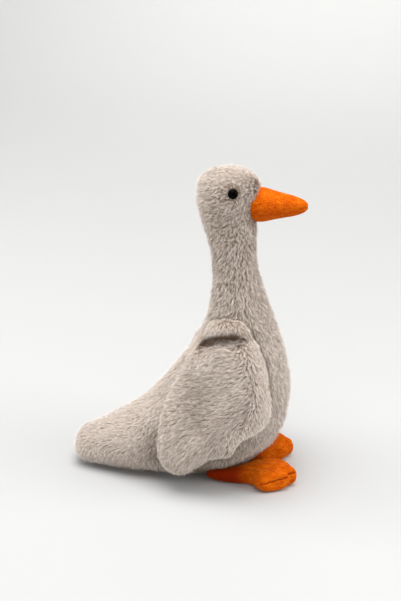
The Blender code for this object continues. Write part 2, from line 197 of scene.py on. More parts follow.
nap_fabric, nap_shader = new_material(
    "brushed_velour", Roughness=0.85, IOR=1.5, Specular_IOR_Level=0.05, Sheen_Weight=0.4,
    Sheen_Roughness=0.4, Sheen_Tint=linear("#FFB450"),
)
nap_place = add_node(nap_fabric, "ShaderNodeTexCoord").outputs["Object"]
brushed = add_node(nap_fabric, "ShaderNodeMapping", inputs={"Vector": nap_place, "Scale": NAP_BRUSHED})
patches = add_node(
    nap_fabric, "ShaderNodeTexNoise",
    inputs={"Vector": brushed.outputs["Vector"], "Scale": 2 / NAP_PATCHES, "Detail": 2.0},
)
grain = add_node(
    nap_fabric, "ShaderNodeTexNoise", inputs={"Vector": nap_place, "Scale": 1 / NAP_GRAIN, "Detail": 1.0}
)
nap_mix = add_node(
    nap_fabric, "ShaderNodeMix", {"data_type": "FLOAT"},
    {"Factor": PATCH_SHARE, "A": grain.outputs["Fac"], "B": patches.outputs["Fac"]},
)
nap_colour = add_node(
    nap_fabric, "ShaderNodeValToRGB", inputs={"Fac": nap_mix.outputs["Result"]}, stops=NAP_STOPS
).outputs["Color"]
# Painted shade where little light reaches the nap, and the seam's thread with painted shade.
for value, colour in (("nap_shade", NAP_SHADE), ("seam", NAP_SEWN)):
    share = add_node(nap_fabric, "ShaderNodeAttribute", {"attribute_name": value}).outputs["Fac"]
    nap_colour = add_node(
        nap_fabric, "ShaderNodeMix", {"data_type": "RGBA"},
        {"Factor": share, "A": nap_colour, "B": linear(colour)},
    ).outputs["Result"]
nap_fabric.node_tree.links.new(nap_colour, nap_shader.inputs["Base Color"])
nap_bump = add_node(
    nap_fabric, "ShaderNodeBump",
    inputs={"Height": grain.outputs["Fac"], "Strength": 0.35, "Distance": NAP_RELIEF},
)
nap_fabric.node_tree.links.new(nap_bump.outputs["Normal"], nap_shader.inputs["Normal"])
print("nap fabric:", nap_fabric.name, "with", len(nap_fabric.node_tree.nodes), "nodes")


# %% [markdown]
# ## Plastic
# The eyes are moulded in black ABS and polished by the mould, so they are nearly mirror smooth, with an
# IOR of about 1.54. They sit in fur, which keeps most of the room's light from them, so their gleam is
# kept faint. The washers inside the head are plain white polypropylene, as it leaves the mould: half
# matt. The solids of both are shown as they are, since plastic needs no dressing.

# %% Plastic materials
eye_plastic, _ = new_material(
    "moulded_black_plastic", Base_Color=linear("#030202"), Roughness=0.1, IOR=1.54, Specular_IOR_Level=0.03
)
washer_plastic, _ = new_material(
    "white_polypropylene", Base_Color=linear("#E6E4DE"), Roughness=0.45, IOR=1.49
)
for side in ("right", "left"):
    frame["nodes"][f"eye_{side}"].material_slots[0].material = eye_plastic
    frame["nodes"][f"eye_washer_{side}"].material_slots[0].material = washer_plastic
print("plastic:", eye_plastic.name, washer_plastic.name)


# %% [markdown]
# ## Working on many points at once
# A skin has thousands of points, so they are read into arrays, moved together and written back. The
# smooth step is the most used tool here: it fades a change in between two places, as cloth does.

# %% Point helpers
def points_of(mesh, what="co"):
    """The mesh's vertex positions or normals as an array."""
    values = np.empty(len(mesh.vertices) * 3)
    if what == "co":
        mesh.vertices.foreach_get("co", values)
    else:
        mesh.vertex_normals.foreach_get("vector", values)
    return values.reshape(-1, 3)


def place_points(mesh, points):
    """Writes the positions back to the mesh."""
    mesh.vertices.foreach_set("co", points.ravel())
    mesh.update()


def marked(mesh, name, values):
    """Keeps a value for each point of the mesh, for its material to use."""
    mesh.attributes.new(name, "FLOAT", "POINT").data.foreach_set("value", np.clip(values, 0, 1))


def smooth_step(values, low, high):
    """0 up to low, 1 from high on, and a soft rise between them."""
    t = np.clip((values - low) / (high - low), 0, 1)
    return t * t * (3 - 2 * t)


def bump(values, middle, width):
    """1 at the middle, fading to both sides over the width."""
    return np.exp(-(((values - middle) / width) ** 2))


print("a smooth step a quarter of the way up:", smooth_step(0.25, 0, 1))


# %% Direction helpers
def unit(vectors):
    """The vectors, each made 1 long."""
    return vectors / np.maximum(np.linalg.norm(vectors, axis=-1, keepdims=True), 1e-9)


def dot(a, b):
    """The dot products of pairs of vectors."""
    return (a * b).sum(-1, keepdims=True)


def flattened(vectors, normals):
    """The vectors laid along the surface that has these normals."""
    return unit(vectors - normals * dot(vectors, normals))


def turned_about(vectors, axis, angle):
    """The vectors turned about their axes by the angles."""
    c, s = np.cos(angle)[:, None], np.sin(angle)[:, None]
    return vectors * c + np.cross(axis, vectors) * s + axis * dot(axis, vectors) * (1 - c)


def wavy(points, size, seed):
    """Smooth noise from -1 to 1 at each point, with waves about size long."""
    shift = Vector((seed * 7.3, seed * 3.1, seed * 5.7))
    return np.array([noise.noise(Vector(point) / size + shift) for point in points])


print("noise at the origin:", wavy([(0, 0, 0)], MM, 1).round(3))


# %% [markdown]
# ## Fine skins on the solids
# A sewn skin over filling has no facets. A cloth simulation with pressure inside would round it too,
# but it folds where it likes, and the solids have the outline of the photograph already. So each soft
# solid is copied, remeshed in even cells and smoothed, and then drawn in by as much as the pile will
# cover. Only the largest closed surface is kept, because the room round an eye's shank can leave a
# bubble inside the head.

# %% Remeshing a solid
def baked(piece):
    """The piece's modifiers made real."""
    graph = bpy.context.evaluated_depsgraph_get()
    mesh = bpy.data.meshes.new_from_object(piece.evaluated_get(graph))
    piece.modifiers.clear()
    old, piece.data = piece.data, mesh
    bpy.data.meshes.remove(old)
    return mesh


def edges_of(mesh):
    """The two ends of each edge, as two arrays."""
    edges = np.empty(len(mesh.edges) * 2, dtype=int)
    mesh.edges.foreach_get("vertices", edges)
    return edges.reshape(-1, 2).T


def keep_largest_surface(mesh):
    """Gives the points of a connected surface the same label, and deletes all but the most common."""
    a, b = edges_of(mesh)
    label = np.arange(len(mesh.vertices))
    while True:
        low = np.minimum(label[a], label[b])
        new = label.copy()
        np.minimum.at(new, a, low)
        np.minimum.at(new, b, low)
        new = new[new]
        if (new == label).all():
            break
        label = new
    names, sizes = np.unique(label, return_counts=True)
    keep = label == names[sizes.argmax()]
    work = bmesh.new()
    work.from_mesh(mesh)
    work.verts.ensure_lookup_table()
    bmesh.ops.delete(work, geom=[v for v in work.verts if not keep[v.index]], context="VERTS")
    work.to_mesh(mesh)
    work.free()
    return int((~keep).sum())


def fine_skin(name, node, cell, inset, rounds):
    """A smooth, even skin over a solid, drawn in by inset."""
    mesh = frame["nodes"][node].data.copy()
    mesh.materials.clear()
    skin = bpy.data.objects.new(name, mesh)
    bpy.context.scene.collection.objects.link(skin)
    remesh = skin.modifiers.new("even cells", "REMESH")
    remesh.mode = "VOXEL"
    remesh.voxel_size = cell
    smooth = skin.modifiers.new("smooth", "SMOOTH")
    smooth.factor = 0.5
    smooth.iterations = rounds
    mesh = baked(skin)
    dropped = keep_largest_surface(mesh)
    place_points(mesh, points_of(mesh) - points_of(mesh, "normal") * inset)
    mesh.shade_smooth()
    triangles = sum(len(face.vertices) - 2 for face in mesh.polygons)
    print(name, "has", triangles, "triangles;", dropped, "points of bubbles went")
    return skin


# %% Hollows, dents and the finish
def hollow_of(mesh, rounds):
    """How deep each point lies under the skin's gently rounded form. On a ridge it is negative."""
    a, b = edges_of(mesh)
    ends, others = np.concatenate([a, b]), np.concatenate([b, a])
    start = points_of(mesh)
    beside = np.bincount(ends, minlength=len(start))
    rounded = start
    for _ in range(rounds):
        sums = [np.bincount(ends, rounded[others, k], len(start)) for k in range(3)]
        rounded = (rounded + np.stack(sums, axis=1) / beside[:, None]) / 2
    return dot(rounded - start, points_of(mesh, "normal"))


def dented(mesh, size, depth, seed):
    """Presses shallow dents of that size in the skin, as loose filling has."""
    points = points_of(mesh)
    press = wavy(points, size, seed)[:, None].clip(0, None) * depth
    place_points(mesh, points - points_of(mesh, "normal") * press)


def finish_piece(piece, material, slot, *nodes):
    """Gives a piece its finish, hangs it from the root and hides the solids that it stands for."""
    piece.data.materials.clear()
    piece.data.materials.append(material)
    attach(piece, "root")
    if nodes:
        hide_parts(*nodes)


# %% [markdown]
# ## Skin of the body
# The body is one bag of fur fabric, filled firmly. Its skin lies 1.5 mm inside its solid, so that the
# pile ends a little outside it, and it has a few shallow dents, as a toy that has been handled has.

# %% Body skin
FUR_INSET = 1.5 * MM
DENT_DEPTH = 1.5 * MM
BODY_CELL, BODY_DENT = 3.0 * MM, 28 * MM

body_skin = fine_skin("body_skin", "body", BODY_CELL, FUR_INSET, 6)
dented(body_skin.data, BODY_DENT, DENT_DEPTH, 3)
finish_piece(body_skin, fur_backing, "beige_fur", "body")


# %% [markdown]
# ## Skins of the wings
# A wing is two layers of fur fabric with a little loose filling. Its top is rolled over and caught with
# a few stitches, which makes one deep pleat under the roll. The filling has slid into a ridge that
# climbs from the lower tip towards the front, and has left a sag behind it. The lower tip hangs clear
# of the belly. A cloth simulation could drape it, but it wouldn't keep the folds where the photograph
# has them. So the pleat's line is found on the skin by its hollow, and each effect is one soft push
# of the points.

# %% Measures of a wing's folds
WING_CELL, WING_INSET, WING_DENT = 2.0 * MM, 0.8 * MM, 22 * MM
PLEAT_ROUNDS = 40  # rounds of smoothing that fill the pleat, and so show how deep it is
PLEAT_PULL = 3.0 * MM  # how much further the stitches pull the pleat in
ROLL_SLOPE, ROLL_TUCK = 6 * MM, 3.5 * MM  # how far above the pleat, and how much, the roll turns in
ROLL_RISE, ROLL_SPREAD = 1.5 * MM, 3.0 * MM  # what the loose fabric adds to the roll's top and rear
SAG_PLACE, SAG_SIZE = (0.40, 0.52), (0.22, 0.20)  # shares of the wing's length and height
SAG_DEPTH = 5.0 * MM
RIDGE_FROM, RIDGE_TO = (0.29, 0.13), (0.75, 0.57)  # shares too
RIDGE_WIDTH, RIDGE_HEIGHT = 10 * MM, 3.5 * MM
ELBOW_FULLNESS = 3.5 * MM  # added to the front edge, where the hem begins
HEM_LIFT = 5.0 * MM  # room for the pile that hangs over the hem
WING_SWING = 6.0 * MM  # how far the lower tip hangs clear of the belly
WING_HEM, WING_SHOULDER = 20 * MM, 130 * MM  # heights between which the wing swings out


def sag_at(share):
    """1 in the middle of the sag and 0 away from it, by shares of the wing's length and height."""
    return np.exp(-(((share - SAG_PLACE) / SAG_SIZE) ** 2).sum(axis=1))


# %% A wing's skin and its pleat
class Wing:
    """A wing's skin with its box, the side that it shows, and the line of its pleat."""

    def __init__(self, side, outer):
        self.outer = outer
        self.low, self.high = np.array(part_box(f"wing_{side}"))
        self.skin = fine_skin(f"wing_{side}_skin", f"wing_{side}", WING_CELL, WING_INSET, 3)
        dented(self.skin.data, WING_DENT, DENT_DEPTH, 8)
        self.find_pleat()

    def find_pleat(self):
        """The height of the pleat's bottom as a curve over x, and the x where it starts and ends."""
        points = points_of(self.skin.data)
        hollow = hollow_of(self.skin.data, PLEAT_ROUNDS)[:, 0]
        hollow *= points_of(self.skin.data, "normal")[:, 1] * self.outer > 0.2
        hollow *= points[:, 2] > points[:, 2].mean()
        deep = hollow > 0.5 * MM
        x, z = points[deep, 0], points[deep, 2]
        self.curve = np.polyfit(x, z, 2, w=hollow[deep] / MM)
        self.rear, self.front = np.percentile(x, [1, 99])

    def above_pleat(self, points):
        """How far above the pleat's bottom the points are."""
        return points[:, 2] - np.polyval(self.curve, points[:, 0])

    def faces_out(self, normals, low, high):
        """1 where the skin faces away from the body, and 0 where it doesn't."""
        return smooth_step(normals[:, 1] * self.outer, low, high)

    def share(self, points):
        """How far along the wing's length and height the points are."""
        return ((points - self.low) / (self.high - self.low))[:, [0, 2]]


# %% How a wing hangs
def roll_tuck(wing, points, normals):
    """How far the roll turns in above its stitches."""
    stitched = smooth_step(points[:, 0], wing.rear - 6 * MM, wing.rear + 8 * MM)
    stitched *= 1 - smooth_step(points[:, 0], wing.front - 10 * MM, wing.front + 6 * MM)
    slope = bump(wing.above_pleat(points), ROLL_SLOPE * 0.7, ROLL_SLOPE)
    return ROLL_TUCK * slope * stitched * wing.faces_out(normals, 0.0, 0.5)


def filling_push(wing, points, normals):
    """How far the filling pushes the outer layer out, along the ridge, and lets it sag behind."""
    span = (wing.high - wing.low)[[0, 2]]
    start, run = RIDGE_FROM * span, (np.array(RIDGE_TO) - RIDGE_FROM) * span
    flat = wing.share(points) * span - start
    away = np.linalg.norm(flat - (flat @ run / (run @ run)).clip(0, 1)[:, None] * run, axis=1)
    push = bump(away, 0, RIDGE_WIDTH) * RIDGE_HEIGHT - sag_at(wing.share(points)) * SAG_DEPTH
    return push * wing.faces_out(normals, 0.2, 0.7)


def hang_wing(wing):
    """Moves the points of the skin to where stitches, filling and weight bring them."""
    mesh = wing.skin.data
    points, normals = points_of(mesh), points_of(mesh, "normal")
    above, (x_share, z_share) = wing.above_pleat(points), wing.share(points).T
    pleat = smooth_step(hollow_of(mesh, PLEAT_ROUNDS), 0.3 * MM, 1.2 * MM)
    hung = points - normals * pleat * PLEAT_PULL
    swing = (1 - smooth_step(hung[:, 2], WING_HEM, WING_SHOULDER)) * WING_SWING
    out = swing + filling_push(wing, points, normals) - roll_tuck(wing, points, normals)
    rear_of_roll = bump(above, 0, 7 * MM) * (1 - smooth_step(x_share, 0.35, 0.65))
    elbow = bump(x_share, 1, 0.2) * bump(z_share, 0.38, 0.15)
    hem = (1 - smooth_step(z_share, 0.0, 0.2)) * smooth_step(x_share, 0.2, 0.4)
    hung[:, 0] += ELBOW_FULLNESS * elbow - ROLL_SPREAD * rear_of_roll
    hung[:, 1] += wing.outer * out
    hung[:, 2] += ROLL_RISE * smooth_step(above, 4 * MM, 14 * MM) + HEM_LIFT * hem
    place_points(mesh, hung)


# %% Wing skins
wings = {}
for side, outer in (("right", -1), ("left", 1)):
    wing = Wing(side, outer)
    hang_wing(wing)
    finish_piece(wing.skin, fur_backing, "beige_fur", f"wing_{side}")
    wings[side] = wing
    print("pleat from x", round(wing.rear / MM, 1), "to", round(wing.front / MM, 1), "mm")


# %% [markdown]
# ## Seams in nap fabric
# A seam is where two edges of fabric are stitched together from the inside, so it sinks in and the
# fabric puckers beside it. A texture could draw it as a line, but it has to catch the light, so the
# points along it are drawn in and the small puckers come from noise.

# %% Sewing
NAP_CELL = 1.2 * MM
SEAM_WIDTH, SEAM_DEPTH = 0.75 * MM, 1.6 * MM
PUCKER_SPACING, PUCKER_DEPTH = 3.0 * MM, 0.6 * MM


def nap_piece(name):
    """A filled piece of nap fabric. Its cloth is thin, so its skin keeps the solid's size."""
    piece = fine_skin(f"{name}_cover", name, NAP_CELL, 0, 4)
    finish_piece(piece, nap_fabric, "orange_nap", name)
    return piece


def sewn(mesh, beside, reach, outer=0):
    """Sinks a seam where the distance beside it is nothing, with puckers along it."""
    points, normals = points_of(mesh), points_of(mesh, "normal")
    strength = (1 - smooth_step(np.abs(normals[:, 2]), 0.75, 0.98)) * reach
    if outer:
        strength *= smooth_step(normals[:, 1] * outer + normals[:, 0], 0.2, 0.7)
    groove = bump(beside, 0, SEAM_WIDTH) * strength
    pucker = bump(beside, 0, 4 * SEAM_WIDTH) * strength
    pucker *= wavy(points * [1, 1, 0.3], PUCKER_SPACING, 4)
    place_points(mesh, points - normals * (groove * SEAM_DEPTH + pucker * PUCKER_DEPTH)[:, None])
    # The seam's darker colour is its thread and painted shade in the groove.
    marked(mesh, "seam", groove)
    print("the seam sinks", int((groove > 0.3).sum()), "points")


def pushed_out(mesh, amount):
    """Moves each point along its normal, but never under the table."""
    moved = points_of(mesh) + points_of(mesh, "normal") * amount[:, None]
    moved[:, 2] = moved[:, 2].clip(0, None)
    place_points(mesh, moved)


# %% [markdown]
# ## Feet
# A foot is a flat bag that is filled until it is round, with plump toes and a pad beside the web, a
# waist at the instep and a narrow leg that runs under the belly, where it is in shade and its nap is
# painted dark as shade. The filling rounds the hollows of the solid first. Then the pad swells, the
# instep is pinched, and the seam runs round the toes on the side that the foot shows.

# %% Feet
HOLLOW_FILL, HOLLOW_ROUNDS = 1.5 * MM, 60
TOE_PAD_PLACE = (0.68, 8 * MM, 9 * MM)  # share of the length, in from the outer edge, height
TOE_PAD, TOE_PAD_FULLNESS = 11 * MM, 3.5 * MM
INSTEP_PLACE = (0.46, 9 * MM, 8 * MM)
INSTEP, INSTEP_PINCH = 8 * MM, 4.0 * MM
FOOT_SEAM_HEIGHT, FOOT_SEAM_CLIMB, FOOT_SEAM_MIDDLE = 11 * MM, 15 * MM, 0.65
LEG_END, TOES_START, TOES_FULL = 0.3, 0.54, 0.64  # shares of the length


def swell(mesh, centre, radius, height):
    """Swells the skin round a centre, or pinches it where the height is negative."""
    away = np.linalg.norm(points_of(mesh) - centre, axis=1)
    pushed_out(mesh, bump(away, 0, radius) * height)


def webbed_foot(name, outer):
    """A foot, filled and sewn."""
    foot = nap_piece(name)
    low, high = np.array(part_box(name))
    heel, length = low[0], high[0] - low[0]
    edge = low[1] if outer < 0 else high[1]
    for _ in range(3):
        pushed_out(foot.data, hollow_of(foot.data, HOLLOW_ROUNDS)[:, 0].clip(0, HOLLOW_FILL) * 0.8)
    for (share, inward, height), radius, fullness in (
        (TOE_PAD_PLACE, TOE_PAD, TOE_PAD_FULLNESS),
        (INSTEP_PLACE, INSTEP, -INSTEP_PINCH),
    ):
        swell(foot.data, [heel + share * length, edge - outer * inward, height], radius, fullness)
    x, y, z = points_of(foot.data).T
    share = (x - heel) / length
    beside = z - FOOT_SEAM_HEIGHT - (share - FOOT_SEAM_MIDDLE) * FOOT_SEAM_CLIMB
    sewn(foot.data, beside, smooth_step(share, TOES_START, TOES_FULL), outer)
    # Painted shade on the leg, which runs under the belly.
    marked(foot.data, "nap_shade", 1 - smooth_step(share, LEG_END, TOES_START))


webbed_foot("foot_right", -1)
webbed_foot("foot_left", 1)


# %% [markdown]
# ## Beak
# The beak is a firm cone with a seam along each side, which shows best near the tip. Its open end is
# sewn into the head, so its cover reaches a little way into the fur. Its lower half lies away from the
# light, so it is painted darker as shade.

# %% Beak
BEAK_SEATING, BEAK_TIP_FILL = 3.0 * MM, 1.3 * MM
BEAK_LOWER_SHADE = 0.35

beak = nap_piece("beak")
low, high = np.array(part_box("beak"))
x, y, z = points_of(beak.data).T
share = (x - low[0]) / (high[0] - low[0])
over_seam = z - (low[2] + high[2]) / 2
place_points(beak.data, np.stack([x - BEAK_SEATING * (1 - share) + BEAK_TIP_FILL * share, y, z], axis=1))
sewn(beak.data, over_seam, 0.1 + 0.5 * smooth_step(share, 0.8, 0.92))
# Painted shade on the beak's lower half, which lies away from the light.
marked(beak.data, "nap_shade", BEAK_LOWER_SHADE * (1 - smooth_step(over_seam, -7 * MM, 5 * MM)))


# %% [markdown]
# ## How the pile grows
# A strand is a narrow blade of two parts that bends over as it rises. Real fibres are a tenth as wide
# as these blades and far more in number, too fine for the picture, so each blade stands for several.
# Neighbouring strands cling together at their tips in small tufts, a millimetre or two apart, and a
# tuft leans its own way a little. So each tuft gets its lean, length and tone first, and every strand
# then follows the nearest tuft, apart from a few that stand up by themselves. Where a
# wing or the table hides the fur it is planted thinly, which keeps the mesh light.

# %% Where pile can grow
class Cover:
    """A skin's triangles, ready to grow pile on, with how densely each is planted."""

    def __init__(self, skin):
        mesh = skin.data
        mesh.calc_loop_triangles()
        corners = np.empty(len(mesh.loop_triangles) * 3, dtype=int)
        mesh.loop_triangles.foreach_get("vertices", corners)
        self.corners = corners.reshape(-1, 3)
        self.points = points_of(mesh)
        self.normals = points_of(mesh, "normal")
        tri = self.points[self.corners]
        self.middle = tri.mean(axis=1)
        cross = np.cross(tri[:, 1] - tri[:, 0], tri[:, 2] - tri[:, 0])
        self.area = np.linalg.norm(cross, axis=1) / 2
        self.facing = unit(cross)
        self.density = np.ones(len(self.area))

    def planted_area(self, chosen):
        """The area of the chosen triangles, with thinly planted ones counted as less."""
        return (self.area * self.density * chosen).sum()

    def hide_under(self, tree, reach, share=0.0):
        """Plants only that share where another piece lies within reach outside the skin."""
        for k in np.flatnonzero(self.density == 1):
            out = Vector(self.facing[k])
            start = Vector(self.middle[k]) + out * 0.2 * MM
            if tree.ray_cast(start, out, reach)[0] is not None:
                self.density[k] = share

    def sown(self, count, chosen, rng):
        """Points and normals of count roots, spread evenly over the chosen triangles."""
        weight = np.cumsum(self.area * self.density * chosen)
        spots = (np.arange(count) + rng.random(count)) / count * weight[-1]
        tri = self.corners[np.searchsorted(weight, spots).clip(0, len(weight) - 1)]
        a, b = rng.random((2, count))
        over = a + b > 1
        a[over], b[over] = 1 - a[over], 1 - b[over]
        share = np.stack([1 - a - b, a, b], axis=1)[:, :, None]
        return (self.points[tri] * share).sum(1), unit((self.normals[tri] * share).sum(1))


body_cover = Cover(body_skin)
wing_covers = {side: Cover(wing.skin) for side, wing in wings.items()}
print("body skin in square mm:", round(body_cover.planted_area(1) / MM**2))


# %% Tufts
TUFT_SPACING = 1.5 * MM
TUFT_SWAY = 0.17  # in radians, as is the drift below
DRIFT, DRIFT_WAVE = 0.35, 14 * MM  # whole patches of tufts drift to one side
TUFT_LIFT = radians(8)
# TONE and its spread are the strands' own dye lots; the looks add painted shade to them.
TONE, TONE_DRIFT, TONE_SPREAD = 0.12, 0.1, 0.25  # shares of the dark lot
TONE_WAVE = 25 * MM


def bent_blades(roots, normals, lay, length, low, high):
    """The middles and tips of blades that lean away from the skin's normal by low, then by high."""
    half = length[:, None] / 2
    middle = roots + (normals * np.cos(low)[:, None] + lay * np.sin(low)[:, None]) * half
    return middle, middle + (normals * np.cos(high)[:, None] + lay * np.sin(high)[:, None]) * half


class Tufts:
    """Tufts on the chosen part of a cover: how each lies and bends, and how dark it is."""

    def __init__(self, cover, chosen, look, seed, rng):
        count = int(cover.planted_area(chosen) / TUFT_SPACING**2)
        roots, normals = cover.sown(count, chosen, rng)
        self.finder = KDTree(count)
        for k, root in enumerate(roots):
            self.finder.insert(root, k)
        self.finder.balance()
        lay, length, low, high, shade, ruffle = look(roots, normals)
        sway = wavy(roots, DRIFT_WAVE, seed) * DRIFT + rng.normal(0, TUFT_SWAY, count) * (1 + 3 * ruffle)
        self.lay = turned_about(flattened(lay, normals), normals, sway)
        self.length = length * (1 + rng.normal(0, 0.12, count)).clip(0.6, 1.4)
        lift = rng.normal(0, TUFT_LIFT, count) * (1 + ruffle)
        self.low, self.high = low + lift, high + lift
        # The look's shade is painted shade, added to the tuft's dye tone.
        self.tone = TONE + TONE_DRIFT * wavy(roots, TONE_WAVE, seed + 5) + shade
        self.tone += rng.uniform(-TONE_SPREAD, TONE_SPREAD, count) * (1 + ruffle)
        self.middle, self.tip = bent_blades(roots, normals, self.lay, self.length, self.low, self.high)

    def nearest(self, roots):
        """The number of the tuft that each root belongs to."""
        return np.array([self.finder.find(root)[1] for root in roots])


# %% Blades
BLADE_TAPER = 0.8  # width at the bend, as a share of the width at the root
TABLE_CLEARANCE = 0.3 * MM


def blades(name, roots, middle, tip, half_width):
    """A mesh with a four-sided face and a triangle for each strand, and a cell of the chart too."""
    count = len(roots)
    bend = half_width * BLADE_TAPER
    rows = [roots - half_width, roots + half_width, middle - bend, middle + bend, tip]
    points = np.stack(rows, axis=1).reshape(-1, 3)
    points[:, 2] = points[:, 2].clip(TABLE_CLEARANCE, None)
    loops = ((np.arange(count) * 5)[:, None] + np.array([0, 1, 3, 2, 2, 3, 4])).ravel()
    sizes = np.tile([4, 3], count)
    mesh = bpy.data.meshes.new(name)
    mesh.vertices.add(count * 5)
    mesh.vertices.foreach_set("co", points.ravel())
    mesh.loops.add(len(loops))
    mesh.loops.foreach_set("vertex_index", loops)
    mesh.polygons.add(count * 2)
    mesh.polygons.foreach_set("loop_start", np.concatenate([[0], np.cumsum(sizes)[:-1]]))
    mesh.polygons.foreach_set("loop_total", sizes)

    columns = int(np.ceil(np.sqrt(count)))
    cell = np.stack([np.arange(count) % columns, np.arange(count) // columns], axis=1)[:, None, :]
    within = np.array([[0, 0], [1, 0], [1, 0.5], [0, 0.5], [0, 0.5], [1, 0.5], [0.5, 1]]) * 0.8 + 0.1
    chart = ((cell + within) / columns).reshape(-1, 2)
    mesh.uv_layers.new(name="OFBake").data.foreach_set("uv", chart.ravel())
    marked(mesh, "along", np.tile([0, 0, 0.5, 0.5, 1.0], count))
    return mesh


# %% Growing a piece of pile
STRANDS_PER_SQUARE_MM = 2.4
MOST_STRANDS = 66000  # in one piece, of three triangles each
STRAND_WIDTH = 0.31 * MM
STRAY_SHARE, STRAY_LIFT = 0.12, radians(18)  # strands that stand up out of the pile by themselves
STRAND_SWAY, STRAND_LIFT, STRAND_ROLL = 0.22, radians(10), 0.4
STRAND_TONE = 0.15
SKIN_SHARE = 0.42  # how much of a strand's shading follows the skin under it, as in a dense pile


def grow_pile(name, cover, chosen, look, seed):
    """A mesh of strands. look gives each tuft's lay, length, lean at root and tip, shade and ruffle."""
    rng = np.random.default_rng(seed)
    area = cover.planted_area(chosen) / MM**2
    count = min(int(area * STRANDS_PER_SQUARE_MM), MOST_STRANDS)
    roots, normals = cover.sown(count, chosen, rng)
    tufts = Tufts(cover, chosen, look, seed, rng)
    tuft = tufts.nearest(roots)

    own = turned_about(flattened(tufts.lay[tuft], normals), normals, rng.normal(0, STRAND_SWAY, count))
    length = tufts.length[tuft] * (1 + rng.normal(0, 0.13, count)).clip(0.5, 1.4)
    stray = rng.random(count) < STRAY_SHARE
    lift = rng.normal(0, STRAND_LIFT, count) - stray * STRAY_LIFT
    middle, tip = bent_blades(roots, normals, own, length, tufts.low[tuft] + lift, tufts.high[tuft] + lift)
    cling = (rng.random(count) * 0.5 + 0.2)[:, None] * (1 - stray[:, None])
    tip += (tufts.tip[tuft] - tip) * cling
    middle += (tufts.middle[tuft] - middle) * cling * 0.35

    along_strand = unit(tip - roots)
    side = turned_about(unit(np.cross(own, normals)), along_strand, rng.normal(0, STRAND_ROLL, count))
    half_width = STRAND_WIDTH / 2 * (0.8 + 0.4 * rng.random(count)) * (1 - 0.35 * stray)
    mesh = blades(name, roots, middle, tip, side * half_width[:, None])
    # Each strand's tone carries its dye lot and the painted shade of its tuft.
    marked(mesh, "tone", np.repeat(tufts.tone[tuft] + rng.normal(0, STRAND_TONE, count), 5))
    mesh.update(calc_edges=True)
    mesh.shade_smooth()
    own_facing = unit(np.cross(side, along_strand))
    shading = unit(own_facing * (1 - SKIN_SHARE) + normals * SKIN_SHARE)
    mesh.normals_split_custom_set_from_vertices(np.repeat(shading, 5, axis=0))

    pile = bpy.data.objects.new(name, mesh)
    bpy.context.scene.collection.objects.link(pile)
    finish_piece(pile, pile_fibre, "beige_fur")
    print(name, "has", count, "strands on", round(area), "square mm")


# %% [markdown]
# ## Fur of the body
# The cutter lays the fabric so that the pile runs back from the beak over the head, down the neck and
# the breast, back along the flanks and out to the end of the tail. Near the beak, the feet and the
# wings it is shorter, because the seams hold it down, but it is full on the brow over the beak. Beside
# the wings and feet, under the hem, where it faces down and in patches on the throat it is painted
# darker as shade, because little light gets there. Round an eye it is trimmed and parted. It is
# ruffled on the neck, where hands hold the toy, and smoother on its upward sides and the tail. The
# fur's direction could be combed by hand, but it follows from a few zones of the body, so it is worked
# out.

# %% What the fur lies beside
def tree_of(piece):
    """A piece's surface, ready to be searched."""
    mesh = piece.data
    return BVHTree.FromPolygons([v.co for v in mesh.vertices], [p.vertices[:] for p in mesh.polygons])


def near(points, trees, reach):
    """1 at the nearest tree's surface, falling to 0 at reach from it."""
    away = [[tree.find_nearest(point, reach)[3] or reach for point in points] for tree in trees]
    return 1 - smooth_step(np.min(away, axis=0), 0.3 * reach, reach)


EYES = [np.array(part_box(f"eye_{side}")).mean(axis=0) for side in ("right", "left")]
BEAK_MIDDLE = np.array(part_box("beak")).mean(axis=0)
WING_TOP = wings["right"].high[2]
body_tree, beak_tree = tree_of(body_skin), tree_of(beak)
wing_trees = [tree_of(wing.skin) for wing in wings.values()]
foot_trees = [tree_of(frame["nodes"][name]) for name in ("foot_right", "foot_left")]
print("eyes at height", [round(eye[2] / MM, 1) for eye in EYES], "mm")


# %% Lay of the body's fur
BODY_LEAN = radians(48), radians(78)  # of the lower and the upper half of a strand
BESIDE_WING, BESIDE_FOOT = 14 * MM, 20 * MM  # how far off a wing or a foot changes the fur
EYE_PARTING = 5 * MM, 12 * MM  # from the eye's middle, where the fur is parted and where it isn't
EYE_TRIM = 6 * MM, 14 * MM  # where it is trimmed and where it isn't


def body_zones(points):
    """How much each point belongs to the head, the tail, the breast and the lower edge."""
    x, y, z = points.T
    head = smooth_step(z, 262 * MM, 285 * MM)
    tail = smooth_step(-x, 20 * MM, 70 * MM)
    breast = smooth_step(x, 30 * MM, 80 * MM) * (1 - head)
    lower_edge = (1 - smooth_step(z, 22 * MM, 34 * MM)) * (1 - head)
    return head, tail, breast, lower_edge


def body_lay(points):
    """Down and a little back on the flanks, and what the zones change of that."""
    head, tail, breast, lower_edge = body_zones(points)
    back = 0.35 + 0.6 * tail + 0.65 * head - 0.25 * breast
    down = 1.0 - 0.78 * tail - 0.65 * head + 0.2 * breast
    lay = np.stack([-back * (1 - 0.6 * lower_edge), 0 * back, -(down + lower_edge)], axis=1)
    for eye in EYES:
        parted = 1 - smooth_step(np.linalg.norm(points - eye, axis=1), *EYE_PARTING)[:, None]
        lay = unit(lay) * (1 - parted) + unit(points - eye) * parted
    return lay


